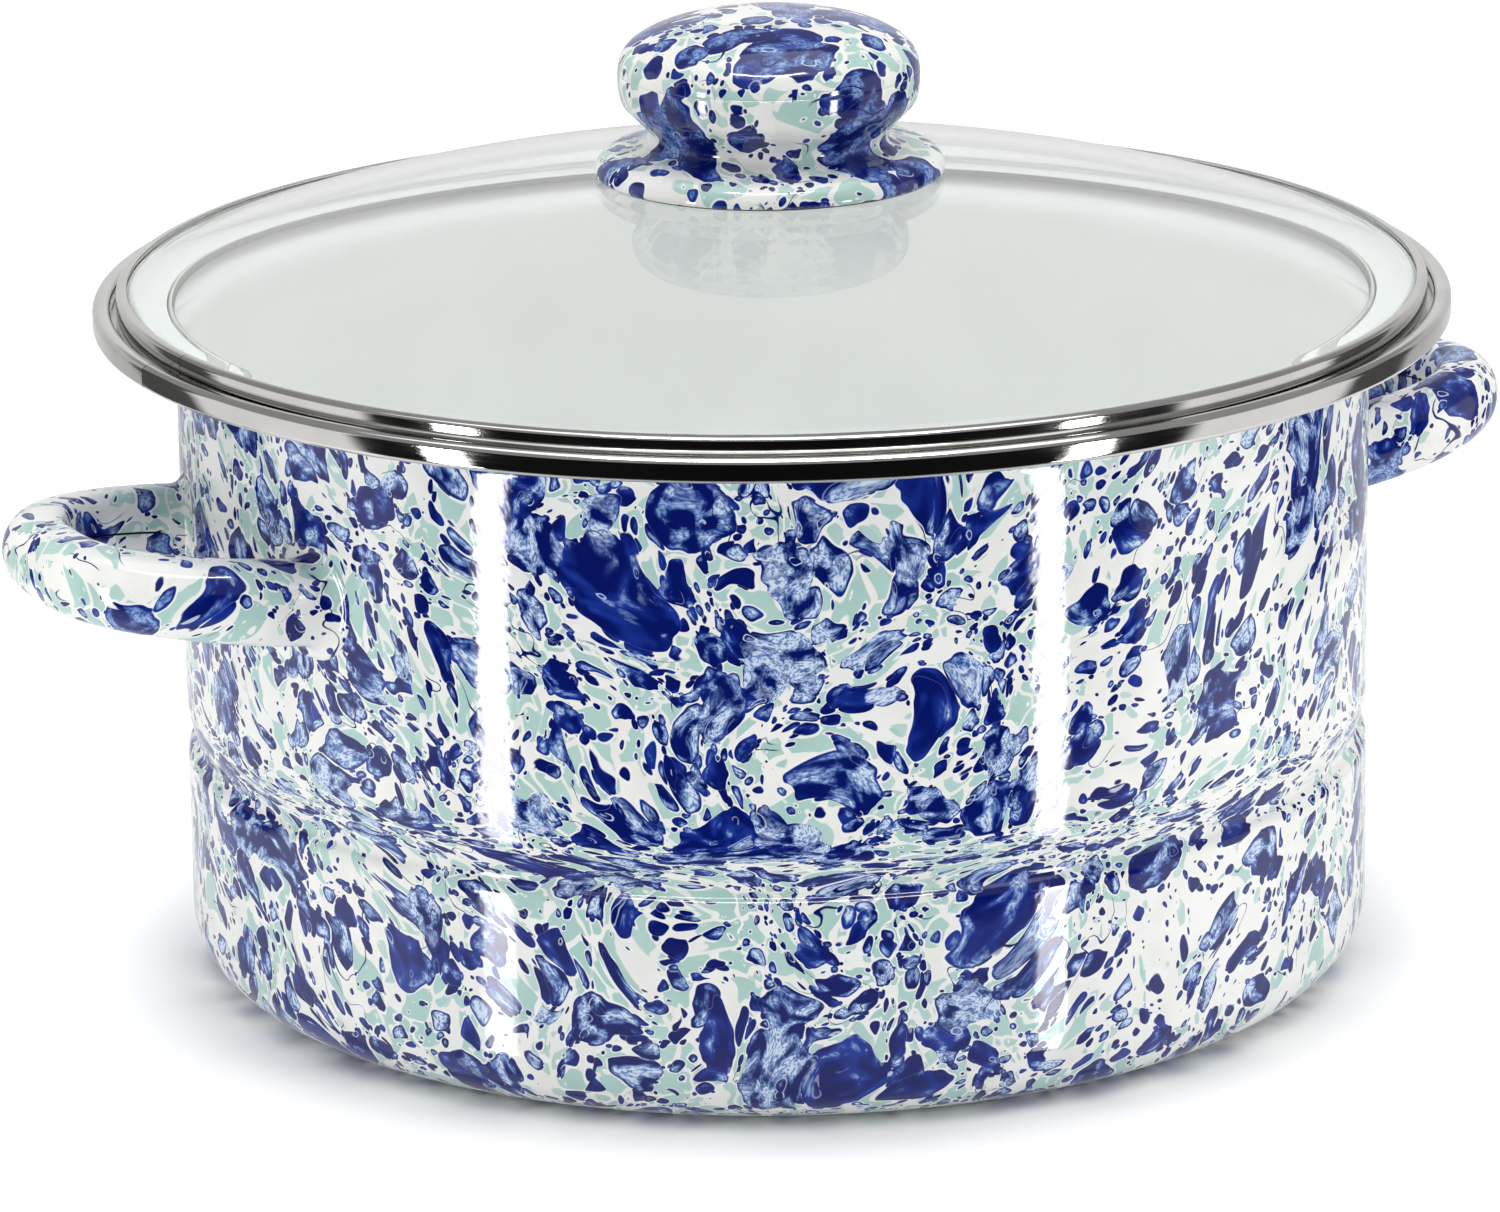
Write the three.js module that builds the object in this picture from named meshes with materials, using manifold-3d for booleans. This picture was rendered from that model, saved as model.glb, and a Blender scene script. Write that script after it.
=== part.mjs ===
// Enamelled steel stockpot with two loop handles and a domed glass lid.
// Millimetres, +Z up. The origin is the middle of the base, on the surface it stands on.
// The handles lie along X, and the lid rests on the pot's ledge.

import * as THREE from "three";
import { mergeVertices } from "three/addons/utils/BufferGeometryUtils.js";
import Module from "manifold-3d";

// Clearance between two pieces that touch on the real pot.
const fit = 0.3;

// Pot: one pressed steel sheet, enamelled on both sides.
const wallRadius = 110.2;
const wallThickness = 1.5;
const ledgeHeight = 123.8;
const ledgeReach = 14.1;
const lipRise = 2.3;
const baseCorner = 12;
const coveRadius = 8;
const grooveHeight = 46;
const grooveDepth = 2.1;
const grooveSpread = 5;

// Stainless band folded over the pot's lip.
const potBandSheet = 0.6;

// Loop handles, each rolled from a strip of sheet into a D-shaped tube with a seam inside.
const handleDrop = 35.3;
const handleReach = 33.8;
const handleSpread = 30;
const handleTilt = 7;
const tubeHeight = 13.8;
const tubeTaper = 1.8;
const tubeDepth = 11.8;
const tubeSheet = 1.2;
const tubeCorner = 3.2;
const seamGap = 0.5;
const footFlare = 3.6;
const footLength = 9;
const tipFullness = 1.95;
const armFullness = 2.7;

// Lid: tempered glass in a stainless band, on a seal.
const lidGap = 1.1;
const lidBandSheet = 0.5;
const lidBandCover = 2.8;
const lidBandFoot = 3.4;
const sealThickness = 0.5;
const sealWidth = 2.6;
const glassThickness = 3.2;
const glassRise = 20.6;

// Knob: two pressed shells that meet at the widest line, on a gasket.
const knobSheet = 1.2;
const waistRadius = 22;
const bulbSwell = 5.8;
const flangeCove = 5.5;
const flangeRound = 4.7;
const flangeEdge = 0.6;
const flangeRise = 3.1;
const waistRise = 3;
const neckRise = 10.3;
const neckQuickness = 0.57;
const landRise = 1.4;
const crownRise = 10.4;
const crownFullness = 2.2;
const gasketThickness = 0.6;
const gasketWidth = 4;

// Fastening of the knob, from the screw head under the glass up to the insert in the neck.
const screwRadius = 2.5;
const screwHeadRadius = 5;
const screwHeadHeight = 2.6;
const washerRadius = 8;
const washerThickness = 1.2;
const padRadius = 9.5;
const padThickness = 1.4;
const sleeveWall = 1.1;
const insertStep = 0.9;
const insertThickness = 2;
const hubWall = 3.2;
const hubRise = 7;
const hubRoof = 2;
const screwRoom = 1;

// Facets round the full turn, and steps along the bends of a profile.
const potFacets = 48;
const knobFacets = 32;
const hardwareFacets = 20;
const wideBendSteps = 4;
const tightBendSteps = 2;
const neckSteps = 6;
const crownSteps = 7;

// Places that follow from the sizes above.
const ledgeUnder = ledgeHeight - wallThickness;
const lipOuter = wallRadius + ledgeReach;
const lipInner = lipOuter - wallThickness;
const lipTop = ledgeHeight + lipRise;
const potBandInner = lipInner - fit - potBandSheet;
const lidOuter = potBandInner - lidGap;
const lidSeat = ledgeHeight + fit;
const sealOuter = lidOuter - lidBandSheet - fit;
const sealBottom = lidSeat + lidBandSheet + fit;
const glassRadius = sealOuter - sealThickness - fit;
const glassEdgeBottom = sealBottom + sealThickness + fit;
const domeRadius = (glassRadius ** 2 + glassRise ** 2) / (2 * glassRise);
const glassApex = glassEdgeBottom + glassThickness + glassRise;
const sleeveRadius = screwRadius + fit + sleeveWall;
const glassHole = sleeveRadius + fit;
const footHalf = tubeDepth / 2 + footFlare;
const flangeRadius = waistRadius + flangeCove + flangeRound;
const bulbRadius = waistRadius + bulbSwell;
const flangeBottom = glassTop(flangeRadius - knobSheet) + fit + gasketThickness + fit;
const flangeShoulder = flangeBottom + flangeEdge;
const waistHeight = flangeShoulder + flangeRise + waistRise;
const bulbHeight = waistHeight + neckRise;
const crownHeight = bulbHeight + landRise;
const boreRise = neckRise - 2 * knobSheet;
const padTop = glassBottom(padRadius) - fit;
const washerTop = padTop - padThickness - fit;
const screwSeat = washerTop - washerThickness - fit;
const insertEase = Math.acos(1 - 2 * insertStep / bulbSwell) / Math.PI;
const insertBottom = waistHeight + boreRise * insertEase ** (1 / neckQuickness);
const insertTop = insertBottom + insertThickness;
const threadTop = insertTop + hubRise - hubRoof;

const degrees = Math.PI / 180;
const manifoldLibrary = await Module();
manifoldLibrary.setup();

// Height of the glass above the base, on its upper and lower faces.
function glassTop(radius) {
  return glassApex - domeRadius + Math.sqrt(domeRadius ** 2 - radius ** 2);
}

function glassBottom(radius) {
  return glassTop(radius) - glassThickness;
}

// One point of a profile, by its distance from the axis and its height.
function at(radius, height) {
  return new THREE.Vector2(radius, height);
}

// Points along part of an ellipse, both ends included.
function arc(radius, height, sideways, upwards, from, to, steps) {
  const points = [];
  for (let step = 0; step <= steps; step += 1) {
    const angle = (from + (to - from) * step / steps) * degrees;
    points.push(at(radius + sideways * Math.cos(angle), height + upwards * Math.sin(angle)));
  }
  return points;
}

// A swell upwards from one radius to another, upright at both ends, and quick to leave the first.
function swell(fromRadius, toRadius, fromHeight, toHeight) {
  const points = [];
  for (let step = 0; step <= neckSteps; step += 1) {
    const share = step / neckSteps;
    const ease = (1 - Math.cos(Math.PI * share ** neckQuickness)) / 2;
    const radius = fromRadius + (toRadius - fromRadius) * ease;
    points.push(at(radius, fromHeight + (toHeight - fromHeight) * share));
  }
  return points;
}

// A full turn of a profile that runs outwards below, up outside and inwards above.
function revolve(profile, facets) {
  const onAxis = profile[0].x === 0;
  const outline = onAxis ? profile : [...profile, profile[0].clone()];
  const geometry = new THREE.LatheGeometry(outline, facets);
  geometry.rotateX(Math.PI / 2);
  return geometry;
}

function finish(color, roughness, metalness) {
  return new THREE.MeshStandardMaterial({ color, roughness, metalness });
}

function enamel() {
  return finish(0xb9c6d6, 0.12, 0);
}

function polishedSteel() {
  return finish(0xd4d4d2, 0.1, 1);
}

function plainSteel() {
  return finish(0xb8b8b6, 0.35, 1);
}

function rubber() {
  return finish(0x3a3a3c, 0.7, 0);
}

function clearGlass() {
  const material = finish(0xdfe8e4, 0.03, 0);
  material.transparent = true;
  material.opacity = 0.3;
  return material;
}

function piece(name, geometry, material) {
  const mesh = new THREE.Mesh(geometry, material);
  mesh.name = name;
  return mesh;
}

// The pressed groove on the wall's face at the given radius: round shoulders and a sharp bottom.
function groove(radius) {
  const sideSteps = 3;
  const points = [];
  for (let step = -sideSteps; step <= sideSteps; step += 1) {
    const share = step / sideSteps;
    const depth = grooveDepth * (1 - Math.sin(Math.PI / 2 * Math.abs(share)));
    points.push(at(radius - depth, grooveHeight + grooveSpread * share));
  }
  return points;
}

// Flat base, round corner, grooved wall, cove out to the ledge, and the lip that the band covers.
function potBody() {
  const cornerAxis = wallRadius - baseCorner;
  const coveAxis = wallRadius + coveRadius;
  const coveHeight = ledgeUnder - coveRadius;
  const outside = [
    at(0, 0),
    ...arc(cornerAxis, baseCorner, baseCorner, baseCorner, -90, 0, wideBendSteps),
    ...groove(wallRadius),
    ...arc(coveAxis, coveHeight, coveRadius, coveRadius, 180, 90, wideBendSteps),
    ...arc(lipInner, ledgeHeight, wallThickness, wallThickness, -90, 0, tightBendSteps),
    at(lipOuter, lipTop),
  ];
  const insideCorner = baseCorner - wallThickness;
  const insideCove = coveRadius + wallThickness;
  const inside = [
    at(lipInner, lipTop),
    at(lipInner, ledgeHeight),
    ...arc(coveAxis, coveHeight, insideCove, insideCove, 90, 180, wideBendSteps),
    ...groove(wallRadius - wallThickness).reverse(),
    ...arc(cornerAxis, baseCorner, insideCorner, insideCorner, 0, -90, wideBendSteps),
    at(0, wallThickness),
  ];
  return piece("pot_body", revolve([...outside, ...inside], potFacets), enamel());
}

// A channel over the lip: its inner leg stands on the ledge, its outer leg ends beside the underside.
function potRimBand() {
  const outer = lipOuter + fit + potBandSheet;
  const top = lipTop + fit + potBandSheet;
  const bend = 2 * potBandSheet;
  const profile = [
    at(outer - potBandSheet, ledgeUnder + fit),
    at(outer, ledgeUnder + fit),
    ...arc(outer - bend, top - bend, bend, bend, 0, 90, tightBendSteps),
    ...arc(potBandInner + bend, top - bend, bend, bend, 90, 180, tightBendSteps),
    at(potBandInner, ledgeHeight + fit),
    at(potBandInner + potBandSheet, ledgeHeight + fit),
    at(potBandInner + potBandSheet, lipTop + fit),
    at(outer - potBandSheet, lipTop + fit),
  ];
  return piece("pot_rim_band", revolve(profile, potFacets), polishedSteel());
}

// Stations along the middle of a handle, from inside the wall on one arm to the other.
function handleStations() {
  const buried = Math.sqrt(wallRadius ** 2 - (handleSpread + footHalf) ** 2) - fit;
  const footSteps = 3;
  const loopSteps = 14;
  const stations = [];
  for (let step = 0; step < footSteps; step += 1) {
    stations.push(at(buried + (wallRadius - buried) * step / footSteps, -handleSpread));
  }
  for (let step = 0; step <= loopSteps; step += 1) {
    const angle = (180 * step / loopSteps - 90) * degrees;
    const across = Math.abs(Math.sin(angle)) ** (2 / armFullness) * Math.sign(angle);
    const along = Math.max(Math.cos(angle), 0) ** (2 / tipFullness);
    stations.push(at(wallRadius + handleReach * along, handleSpread * across));
  }
  for (let step = footSteps - 1; step >= 0; step -= 1) {
    stations.push(at(buried + (wallRadius - buried) * step / footSteps, handleSpread));
  }
  return stations;
}

// Section of the tube: a flat inner side split by the seam, and a bowed outer side.
function tubeSection(half, rise) {
  const bowAxis = tubeCorner - half;
  const bow = 2 * half - tubeCorner;
  const cornerHeight = rise - tubeCorner;
  const bore = tubeCorner - tubeSheet;
  const wall = tubeSheet - half;
  const outerSteps = 8;
  const innerSteps = 6;
  return [
    at(-half, seamGap / 2),
    ...arc(bowAxis, cornerHeight, tubeCorner, tubeCorner, 180, 90, tightBendSteps),
    ...arc(bowAxis, 0, bow, rise, 90, -90, outerSteps).slice(1, -1),
    ...arc(bowAxis, -cornerHeight, tubeCorner, tubeCorner, -90, -180, tightBendSteps),
    at(-half, -seamGap / 2),
    at(wall, -seamGap / 2),
    ...arc(bowAxis, -cornerHeight, bore, bore, -180, -90, 1),
    ...arc(bowAxis, 0, bow - tubeSheet, rise - tubeSheet, -90, 90, innerSteps).slice(1, -1),
    ...arc(bowAxis, cornerHeight, bore, bore, 90, 180, 1),
    at(wall, seamGap / 2),
  ];
}

// The section at one station: taller towards the wall, and flared where the foot meets it.
function sectionAt(station) {
  const wallFace = Math.sqrt(wallRadius ** 2 - station.y ** 2);
  const clear = Math.min(Math.max((station.x - wallFace) / footLength, 0), 1);
  const along = Math.max((station.x - wallRadius) / handleReach, 0);
  const half = tubeDepth / 2 + footFlare * (1 - clear) ** 2;
  const rise = (tubeHeight + tubeTaper * (1 - along)) / 2;
  return tubeSection(half, rise);
}

// The tube drawn along its stations, with both ends closed by the sheet's edge.
function handleTube() {
  const stations = handleStations();
  const sections = stations.map(sectionAt);
  const sectionSize = sections[0].length;
  const slope = Math.tan(handleTilt * degrees);
  const positions = [];
  stations.forEach((station, index) => {
    const before = stations[Math.max(index - 1, 0)];
    const after = stations[Math.min(index + 1, stations.length - 1)];
    const heading = after.clone().sub(before).normalize();
    const height = ledgeHeight - handleDrop + (station.x - wallRadius) * slope;
    for (const corner of sections[index]) {
      const x = station.x + corner.x * heading.y;
      const y = station.y - corner.x * heading.x;
      positions.push(x, y, height + corner.y);
    }
  });
  const faces = [];
  for (let ring = 0; ring < stations.length - 1; ring += 1) {
    for (let corner = 0; corner < sectionSize; corner += 1) {
      const next = (corner + 1) % sectionSize;
      const near = ring * sectionSize;
      const far = near + sectionSize;
      faces.push(near + corner, near + next, far + next);
      faces.push(near + corner, far + next, far + corner);
    }
  }
  const lastRing = (stations.length - 1) * sectionSize;
  for (const [a, b, c] of THREE.ShapeUtils.triangulateShape(sections[0], [])) {
    faces.push(a, b, c);
    faces.push(lastRing + a, lastRing + c, lastRing + b);
  }
  const geometry = new THREE.BufferGeometry();
  geometry.setAttribute("position", new THREE.Float32BufferAttribute(positions, 3));
  geometry.setIndex(faces);
  return geometry;
}

function toSolid(geometry) {
  const bare = geometry.clone();
  bare.deleteAttribute("normal");
  bare.deleteAttribute("uv");
  const merged = mergeVertices(bare);
  const mesh = new manifoldLibrary.Mesh({
    numProp: 3,
    vertProperties: new Float32Array(merged.attributes.position.array),
    triVerts: new Uint32Array(merged.index.array),
  });
  return new manifoldLibrary.Manifold(mesh);
}

function toGeometry(solid) {
  const mesh = solid.getMesh();
  const geometry = new THREE.BufferGeometry();
  geometry.setAttribute("position", new THREE.BufferAttribute(mesh.vertProperties, 3));
  geometry.setIndex(new THREE.BufferAttribute(mesh.triVerts, 1));
  geometry.computeVertexNormals();
  return geometry;
}

// The tube's feet are cut to the round of the wall, which they stand off by the weld's clearance.
function handleGeometry() {
  const cutRadius = wallRadius + fit;
  const cutter = new THREE.CylinderGeometry(cutRadius, cutRadius, 2 * ledgeHeight, potFacets);
  cutter.rotateX(Math.PI / 2);
  return toGeometry(toSolid(handleTube()).subtract(toSolid(cutter)));
}

function handles() {
  const geometry = handleGeometry();
  const right = piece("right_handle", geometry, enamel());
  const left = piece("left_handle", geometry.clone(), enamel());
  left.rotation.z = Math.PI;
  return [right, left];
}

// Radii spaced evenly from the hole to the edge of the glass.
function domeRadii() {
  const rings = 6;
  const radii = [];
  for (let ring = 0; ring <= rings; ring += 1) {
    radii.push(glassHole + (glassRadius - glassHole) * ring / rings);
  }
  return radii;
}

function lidGlass() {
  const below = domeRadii().map((radius) => at(radius, glassBottom(radius)));
  const above = domeRadii().reverse().map((radius) => at(radius, glassTop(radius)));
  return piece("lid_glass", revolve([...below, ...above], potFacets), clearGlass());
}

// The seal lies under the edge of the glass and turns up round it.
function lidRimSeal() {
  const inner = glassRadius - sealWidth;
  const turnUp = glassRadius + fit;
  const profile = [
    at(inner, sealBottom),
    at(sealOuter, sealBottom),
    at(sealOuter, glassTop(glassRadius)),
    at(turnUp, glassTop(glassRadius)),
    at(turnUp, glassBottom(glassRadius) - fit),
    at(inner, glassBottom(inner) - fit),
  ];
  return piece("lid_rim_seal", revolve(profile, potFacets), rubber());
}

// The band's foot rests on the ledge, and its rolled edge holds the glass down.
function lidRimBand() {
  const bend = 2 * lidBandSheet;
  const edge = lidOuter - lidBandCover;
  const under = glassTop(glassRadius) + fit;
  const top = under + lidBandSheet;
  const footEdge = lidOuter - lidBandFoot;
  const profile = [
    at(footEdge, lidSeat),
    ...arc(lidOuter - bend, lidSeat + bend, bend, bend, -90, 0, tightBendSteps),
    ...arc(lidOuter - bend, top - bend, bend, bend, 0, 90, tightBendSteps),
    at(edge, glassTop(edge) + fit + lidBandSheet),
    at(edge, glassTop(edge) + fit),
    at(glassRadius, under),
    at(lidOuter - lidBandSheet, under),
    at(lidOuter - lidBandSheet, lidSeat + lidBandSheet),
    at(footEdge, lidSeat + lidBandSheet),
  ];
  return piece("lid_rim_band", revolve(profile, potFacets), polishedSteel());
}

// The gasket follows the dome under the knob's flange.
function knobGasket() {
  const inner = flangeRadius - gasketWidth;
  const profile = [
    at(inner, glassTop(inner) + fit),
    at(flangeRadius, glassTop(flangeRadius) + fit),
    at(flangeRadius, glassTop(flangeRadius) + fit + gasketThickness),
    at(inner, glassTop(inner) + fit + gasketThickness),
  ];
  return piece("knob_gasket", revolve(profile, knobFacets), rubber());
}

// Flange, waist and the lower half of the bulb, with a collar inside the cap.
function knobBase() {
  const bore = bulbRadius - knobSheet;
  const collar = bore - fit;
  const coveAxis = waistRadius + flangeCove;
  const flangeBore = flangeRadius - knobSheet;
  const outside = [
    at(flangeBore, flangeBottom),
    at(flangeRadius, flangeBottom),
    ...arc(coveAxis, flangeShoulder, flangeRound, flangeRise, 0, 90, wideBendSteps),
    ...arc(coveAxis, waistHeight, flangeCove, waistRise, 270, 180, wideBendSteps).slice(1),
    ...swell(waistRadius, bulbRadius, waistHeight, bulbHeight).slice(1),
    at(collar, bulbHeight),
    at(collar, crownHeight),
  ];
  const insideCove = [flangeCove + knobSheet, waistRise + knobSheet];
  const insideRound = [flangeRound - knobSheet, flangeRise - knobSheet];
  const inside = [
    at(collar - knobSheet, crownHeight),
    at(collar - knobSheet, bulbHeight - knobSheet),
    ...swell(waistRadius - knobSheet, bore, waistHeight, waistHeight + boreRise).reverse(),
    ...arc(coveAxis, waistHeight, ...insideCove, 180, 270, wideBendSteps).slice(1),
    ...arc(coveAxis, flangeShoulder, ...insideRound, 90, 0, tightBendSteps).slice(1),
  ];
  return piece("knob_base", revolve([...outside, ...inside], knobFacets), enamel());
}

// Points of the crown from its widest line to the top, or of its inside at a smaller size.
function crown(radius, rise) {
  const power = 2 / crownFullness;
  return arc(0, 0, 1, 1, 0, 90, crownSteps).map((unit, step) => {
    const across = step === crownSteps ? 0 : radius * unit.x ** power;
    return at(across, crownHeight + rise * unit.y ** power);
  });
}

function knobCap() {
  const bore = bulbRadius - knobSheet;
  const outside = crown(bulbRadius, crownRise);
  const inside = crown(bore, crownRise - knobSheet).reverse();
  const profile = [
    ...inside,
    at(bore, bulbHeight + fit),
    at(bulbRadius, bulbHeight + fit),
    ...outside,
  ];
  return piece("knob_cap", revolve(profile, knobFacets), enamel());
}

// Inside radius of the knob's neck at a height between its waist and its widest line.
function neckBore(height) {
  const share = (height - waistHeight) / boreRise;
  const ease = (1 - Math.cos(Math.PI * share ** neckQuickness)) / 2;
  return waistRadius - knobSheet + bulbSwell * ease;
}

// A plate that wedges on the shoulder above the waist, with a hub threaded from below.
function knobInsert() {
  const hubRadius = screwRadius + fit + hubWall;
  const bore = screwRadius + fit;
  const profile = [
    at(0, threadTop),
    at(bore, threadTop),
    at(bore, insertBottom),
    at(neckBore(insertBottom) - fit, insertBottom),
    at(neckBore(insertTop) - fit, insertTop),
    at(hubRadius, insertTop),
    at(hubRadius, insertTop + hubRise),
    at(0, insertTop + hubRise),
  ];
  return piece("knob_insert", revolve(profile, knobFacets), plainSteel());
}

// Rubber pad under the glass, with a sleeve that keeps the screw off the hole.
function knobPad() {
  const bore = screwRadius + fit;
  const profile = [
    at(bore, padTop - padThickness),
    at(padRadius, padTop - padThickness),
    at(padRadius, padTop),
    at(sleeveRadius, padTop),
    at(sleeveRadius, glassTop(glassHole)),
    at(bore, glassTop(glassHole)),
  ];
  return piece("knob_pad", revolve(profile, hardwareFacets), rubber());
}

function knobWasher() {
  const bore = screwRadius + fit;
  const profile = [
    at(bore, washerTop - washerThickness),
    at(washerRadius, washerTop - washerThickness),
    at(washerRadius, washerTop),
    at(bore, washerTop),
  ];
  return piece("knob_washer", revolve(profile, hardwareFacets), plainSteel());
}

// Round-head screw, up through the washer, the pad and the glass into the insert.
function knobScrew() {
  const profile = [
    at(0, screwSeat - screwHeadHeight),
    ...arc(0, screwSeat, screwHeadRadius, screwHeadHeight, -90, 0, wideBendSteps).slice(1),
    at(screwRadius, screwSeat),
    at(screwRadius, threadTop - screwRoom),
    at(0, threadTop - screwRoom),
  ];
  return piece("knob_screw", revolve(profile, hardwareFacets), plainSteel());
}

const pot = new THREE.Group();
pot.add(potBody(), potRimBand(), ...handles());

const lid = new THREE.Group();
lid.add(lidGlass(), lidRimSeal(), lidRimBand());
lid.add(knobGasket(), knobBase(), knobCap());
lid.add(knobInsert(), knobPad(), knobWasher(), knobScrew());

const stockpot = new THREE.Group();
stockpot.add(pot, lid);

export default stockpot;
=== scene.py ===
# %% [markdown]
# # An enamelled stockpot with a glass lid
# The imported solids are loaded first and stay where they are. Every piece below is made over its
# solid, in the same frame, and then takes that solid's place in the picture. Blender counts in
# metres and the pot was measured in millimetres, so MM stands for one millimetre.

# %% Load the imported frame
import math
import bmesh
import bpy
from mathutils import Matrix, Quaternion, Vector


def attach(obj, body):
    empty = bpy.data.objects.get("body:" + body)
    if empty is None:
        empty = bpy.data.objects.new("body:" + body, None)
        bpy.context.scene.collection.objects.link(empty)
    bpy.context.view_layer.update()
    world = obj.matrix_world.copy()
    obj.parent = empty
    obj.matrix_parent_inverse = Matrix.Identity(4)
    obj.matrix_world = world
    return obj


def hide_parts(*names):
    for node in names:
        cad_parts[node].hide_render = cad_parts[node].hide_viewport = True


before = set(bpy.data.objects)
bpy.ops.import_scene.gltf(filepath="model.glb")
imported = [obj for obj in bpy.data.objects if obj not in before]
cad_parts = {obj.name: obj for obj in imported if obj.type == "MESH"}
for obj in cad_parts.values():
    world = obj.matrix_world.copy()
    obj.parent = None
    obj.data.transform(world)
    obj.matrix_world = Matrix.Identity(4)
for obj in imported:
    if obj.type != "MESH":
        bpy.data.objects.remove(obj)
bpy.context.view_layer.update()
MM = 0.001
print("solids:", ", ".join(sorted(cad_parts)))

# %% [markdown]
# ## Camera
# The photograph was taken from far off with a long lens, a little above the rim. The camera could be
# placed by eye, but the rim, the ledge and the base are circles, so a lens, a distance and a height
# were fitted to their outlines. The pot is turned, with its right handle away from the viewer.

# %% Camera
POT_TURN = math.radians(26.5)
TO_CAMERA = Vector((-math.sin(POT_TURN), -math.cos(POT_TURN), 0))
TO_RIGHT = Vector((math.cos(POT_TURN), -math.sin(POT_TURN), 0))
AIM = Vector((0, 0, 70 * MM))
CAMERA_DISTANCE = 1.507
CAMERA_RISE = math.radians(15.91)
CAMERA_ROLL = math.radians(-0.75)
PICTURE_WIDTH = 1500
LENS_PIXELS = 8074
SHIFT_PIXELS = (-25.4, -25.6)

level = TO_CAMERA * math.cos(CAMERA_RISE)
place = AIM + CAMERA_DISTANCE * (level + Vector((0, 0, math.sin(CAMERA_RISE))))
lens = bpy.data.cameras.new("camera")
lens.sensor_width = 36
lens.lens = LENS_PIXELS / PICTURE_WIDTH * lens.sensor_width
lens.shift_x, lens.shift_y = (pixels / PICTURE_WIDTH for pixels in SHIFT_PIXELS)
camera = bpy.data.objects.new("camera", lens)
camera.location = place
camera.rotation_mode = "QUATERNION"
aimed = (AIM - place).to_track_quat("-Z", "Y")
camera.rotation_quaternion = aimed @ Quaternion((0, 0, 1), CAMERA_ROLL)
bpy.context.scene.collection.objects.link(camera)
bpy.context.scene.camera = camera
print("lens", round(lens.lens, 1), "mm, camera at", [round(x, 3) for x in place])

# %% [markdown]
# ## Nodes
# A finish is a small tree of nodes. Long trees get hard to read when each node is made and wired by
# hand, so small helpers make the nodes and take either a number or another node's socket.

# %% Numbers
def feed(tree, socket, value):
    """Wire a socket into another one, or write a plain value there."""
    if isinstance(value, bpy.types.NodeSocket):
        tree.links.new(value, socket)
    else:
        socket.default_value = value


def calc(tree, operation, first, second=0.0):
    node = tree.nodes.new("ShaderNodeMath")
    node.operation = operation
    feed(tree, node.inputs[0], first)
    feed(tree, node.inputs[1], second)
    return node.outputs[0]


def ramp(tree, value, low, high, start=0.0, end=1.0):
    """A smooth step from start to end while the value goes from low to high."""
    node = tree.nodes.new("ShaderNodeMapRange")
    node.interpolation_type = "SMOOTHSTEP"
    titles = ("Value", "From Min", "From Max", "To Min", "To Max")
    for title, number in zip(titles, (value, low, high, start, end)):
        feed(tree, node.inputs[title], number)
    return node.outputs["Result"]


print("number helpers: feed, calc, ramp")

# %% Places
def shift(tree, vector, offset):
    node = tree.nodes.new("ShaderNodeVectorMath")
    feed(tree, node.inputs[0], vector)
    feed(tree, node.inputs[1], offset)
    return node.outputs[0]


def stretch(tree, vector, factor):
    node = tree.nodes.new("ShaderNodeVectorMath")
    node.operation = "SCALE"
    feed(tree, node.inputs[0], vector)
    feed(tree, node.inputs["Scale"], factor)
    return node.outputs[0]


def along(tree, vector, direction):
    node = tree.nodes.new("ShaderNodeVectorMath")
    node.operation = "DOT_PRODUCT"
    feed(tree, node.inputs[0], vector)
    feed(tree, node.inputs[1], direction)
    return node.outputs["Value"]


def parts_of(tree, vector):
    node = tree.nodes.new("ShaderNodeSeparateXYZ")
    feed(tree, node.inputs[0], vector)
    return node.outputs


def vector_of(tree, x, y, z):
    node = tree.nodes.new("ShaderNodeCombineXYZ")
    for socket, value in zip(node.inputs, (x, y, z)):
        feed(tree, socket, value)
    return node.outputs[0]


def from_axis(tree, x, y):
    """Distance from the axis of the pot."""
    squares = calc(tree, "ADD", calc(tree, "MULTIPLY", x, x), calc(tree, "MULTIPLY", y, y))
    return calc(tree, "SQRT", squares)


def millimetres(tree):
    """Object coordinates in millimetres."""
    return stretch(tree, tree.nodes.new("ShaderNodeTexCoord").outputs["Object"], 1000.0)


print("place helpers: shift, stretch, along, parts_of, vector_of, from_axis, millimetres")

# %% Noise and colour
def noise(tree, vector, size, detail=1.0, output="Fac"):
    """Smooth noise with features of the given size, in the vector's own units."""
    node = tree.nodes.new("ShaderNodeTexNoise")
    node.inputs["Scale"].default_value = 1 / size
    node.inputs["Detail"].default_value = detail
    feed(tree, node.inputs["Vector"], vector)
    return node.outputs[output]


def blend(tree, share, below, above):
    node = tree.nodes.new("ShaderNodeMix")
    node.data_type = "RGBA"
    for number, value in zip((0, 6, 7), (share, below, above)):
        feed(tree, node.inputs[number], value)
    return node.outputs[2]


def chances(tree, color):
    """Two even chances out of a cell's random colour."""
    node = tree.nodes.new("ShaderNodeSeparateColor")
    feed(tree, node.inputs[0], color)
    return node.outputs[0], node.outputs[1]


print("noise and colour helpers: noise, blend, chances")

# %% Groups and finishes
def new_group(name, inputs, outputs):
    tree = bpy.data.node_groups.new(name, "ShaderNodeTree")
    for title, kind in inputs:
        tree.interface.new_socket(title, in_out="INPUT", socket_type="NodeSocket" + kind)
    for title, kind in outputs:
        tree.interface.new_socket(title, in_out="OUTPUT", socket_type="NodeSocket" + kind)
    given = tree.nodes.new("NodeGroupInput").outputs
    return tree, given, tree.nodes.new("NodeGroupOutput").inputs


def use_group(tree, group, **values):
    node = tree.nodes.new("ShaderNodeGroup")
    node.node_tree = group
    for title, value in values.items():
        feed(tree, node.inputs[title], value)
    return node.outputs


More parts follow.
